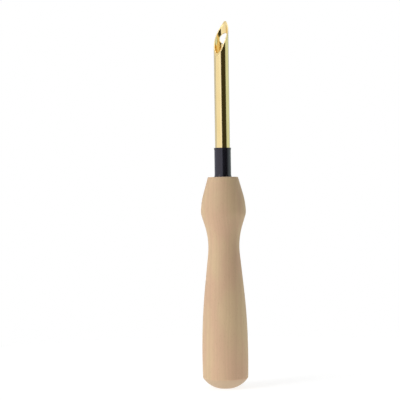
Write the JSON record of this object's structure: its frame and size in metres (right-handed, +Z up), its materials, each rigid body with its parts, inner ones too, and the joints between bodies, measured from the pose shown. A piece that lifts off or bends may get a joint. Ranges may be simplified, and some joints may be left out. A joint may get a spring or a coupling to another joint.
{
  "type": "punch needle",
  "caption": "Punch needle: a bevelled metal tube with an eye near its tip, a sliding sleeve, and a turned wooden handle bored through for the yarn.",
  "frame": {"origin": "centre of the handle's butt end, where the yarn goes in", "axes": "+Z up along the tool towards the needle's tip, -Y the side that the needle's bevel faces, +Y the side of its eye"},
  "size_m": [0.0188, 0.0188, 0.15],
  "materials": {
    "wood": "turned and sanded bare",
    "gold_plate": "polished gold plate on brass tube",
    "black_plastic": "satin"
  },
  "bodies": {
    "grip": {"handle": "wood", "needle": "gold_plate"},
    "stop": {"sleeve": "black_plastic"}
  },
  "joints": [
    {"name": "sleeve_slide", "type": "slide", "parent": "grip", "child": "stop", "axis": [0, 0, 1], "range_m": [0, 0.036]}
  ]
}
